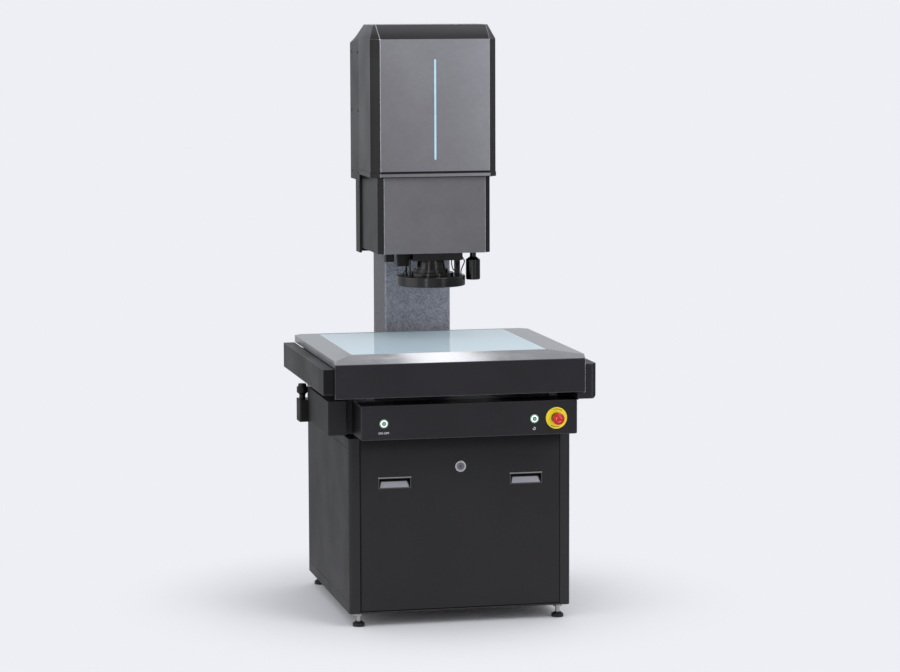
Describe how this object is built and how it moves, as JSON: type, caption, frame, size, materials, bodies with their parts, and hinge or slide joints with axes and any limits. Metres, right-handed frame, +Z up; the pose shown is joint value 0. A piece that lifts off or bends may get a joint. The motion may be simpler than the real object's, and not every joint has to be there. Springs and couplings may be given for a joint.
{
  "type": "vision measuring machine",
  "caption": "Floor-standing optical measuring machine: camera head on a granite column over a glass stage that slides in X and Y, on a black cabinet with an emergency stop.",
  "frame": {"origin": "on the floor, under the middle of the whole outline; the cabinet's middle lies 27.5 mm to the right of it and 23.25 mm behind it", "axes": "+Z up, -Y towards the front with the switches, +X to the right seen from the front"},
  "size_m": [0.769, 0.9366, 1.671],
  "materials": {
    "cabinet_paint": "fine-textured satin black powder coat",
    "panel_paint": "fine-textured satin black powder coat",
    "cover_paint": "satin charcoal paint",
    "apron_paint": "satin black paint",
    "granite": "fine-ground black granite with pale specks",
    "plate_metal": "ground plate with fine lines",
    "glass": "polished clear plate glass",
    "black_anodised": "black anodised, turned",
    "machined": "machined satin",
    "steel": "ground bright steel",
    "zinc": "bright plated",
    "chrome": "polished",
    "cup_plastic": "moulded grey",
    "black_plastic": "moulded black",
    "bezel_metal": "satin bezel",
    "lit_cap": "translucent green-white cap",
    "warning_yellow": "printed yellow disc",
    "stop_red": "moulded red",
    "foot_black": "moulded black",
    "motor_black": "black end caps",
    "device_grey": "light grey box"
  },
  "bodies": {
    "base": {"levelling_feet": "foot_black", "foot_lock_nuts": "zinc", "cabinet_frame": "cabinet_paint", "cabinet_panels": "panel_paint", "control_computer": "device_grey", "motion_controller": "device_grey", "base_supports": "zinc", "granite_base": "granite", "switch_box": "apron_paint", "button_bezels": "bezel_metal", "estop_plate": "warning_yellow", "estop_collar": "black_plastic", "contact_blocks": "black_plastic", "side_box": "cabinet_paint", "cable_box": "black_plastic", "y_rails": "steel", "y_bearings": "machined", "y_motor": "motor_black", "backlight": "black_anodised", "granite_column": "granite", "cable_duct": "cover_paint", "z_base_plate": "machined", "z_rails": "steel", "z_bearings": "machined", "z_motor": "motor_black", "head_cover": "cover_paint", "head_back_cover": "cover_paint"},
    "front_panel": {"access_panel": "panel_paint", "pull_cups": "cup_plastic"},
    "panel_lock": {"cam_lock": "chrome"},
    "power_cap": {"power_button": "lit_cap"},
    "reset_cap": {"reset_button": "lit_cap"},
    "stop_stem": {"estop_stem": "black_plastic"},
    "stop_head": {"estop_head": "stop_red"},
    "y_saddle": {"saddle": "machined", "y_carriages": "steel", "y_nut": "machined", "x_rails": "steel", "x_bearings": "machined", "x_motor": "motor_black", "left_end_cover": "apron_paint", "right_end_cover": "apron_paint"},
    "y_spindle": {"y_screw": "steel"},
    "x_table": {"table_plate": "plate_metal", "table_glass": "glass", "table_apron": "apron_paint", "x_carriages": "steel", "x_nut": "machined"},
    "x_spindle": {"x_screw": "steel"},
    "camera_head": {"z_slide": "machined", "z_carriages": "steel", "camera_housing": "cover_paint", "housing_back_cover": "cover_paint", "lens_tube": "black_anodised", "camera": "black_anodised", "ring_light": "black_anodised", "light_hanger": "black_anodised", "laser_pointer": "black_anodised", "floor_connectors": "black_plastic"},
    "z_spindle": {"z_screw": "steel"}
  },
  "joints": [
    {"name": "y_slide", "type": "slide", "parent": "base", "child": "y_saddle", "axis": [0, 1, 0], "range_m": [-0.37, 0.03]},
    {"name": "y_screw_turn", "type": "hinge", "parent": "base", "child": "y_spindle", "pos_m": [-0.1225, 0.02325, 0.661], "axis": [0, 1, 0], "continuous": true},
    {"name": "x_slide", "type": "slide", "parent": "y_saddle", "child": "x_table", "axis": [1, 0, 0], "range_m": [-0.25, 0.25]},
    {"name": "x_screw_turn", "type": "hinge", "parent": "y_saddle", "child": "x_spindle", "pos_m": [0.0275, -0.33175, 0.7291], "axis": [1, 0, 0], "continuous": true},
    {"name": "z_slide", "type": "slide", "parent": "base", "child": "camera_head", "axis": [0, 0, 1], "range_m": [-0.13, 0.12]},
    {"name": "z_screw_turn", "type": "hinge", "parent": "base", "child": "z_spindle", "pos_m": [0.0275, 0.22525, 1.2], "axis": [0, 0, 1], "continuous": true},
    {"name": "panel_tilt", "type": "hinge", "parent": "base", "child": "front_panel", "pos_m": [0.0275, -0.31175, 0.051], "axis": [1, 0, 0], "range_deg": [0, 20]},
    {"name": "lock_turn", "type": "hinge", "parent": "front_panel", "child": "panel_lock", "pos_m": [0.0275, -0.31675, 0.446], "axis": [0, 1, 0], "range_deg": [0, 90]},
    {"name": "power_press", "type": "slide", "parent": "base", "child": "power_cap", "axis": [0, 1, 0], "range_m": [0, 0.002], "stiffness_N_per_m": 400, "springref_m": -0.002},
    {"name": "reset_press", "type": "slide", "parent": "base", "child": "reset_cap", "axis": [0, 1, 0], "range_m": [0, 0.002], "stiffness_N_per_m": 400, "springref_m": -0.002},
    {"name": "stop_press", "type": "slide", "parent": "base", "child": "stop_stem", "axis": [0, 1, 0], "range_m": [0, 0.004], "stiffness_N_per_m": 800, "springref_m": -0.002},
    {"name": "stop_twist", "type": "hinge", "parent": "stop_stem", "child": "stop_head", "pos_m": [0.2725, -0.45675, 0.591], "axis": [0, 1, 0], "range_deg": [0, 30]}
  ],
  "couplings": [
    {"joint": "y_screw_turn", "follows": "y_slide", "rad_per_m": -628.32},
    {"joint": "x_screw_turn", "follows": "x_slide", "rad_per_m": -628.32},
    {"joint": "z_screw_turn", "follows": "z_slide", "rad_per_m": -628.32}
  ]
}
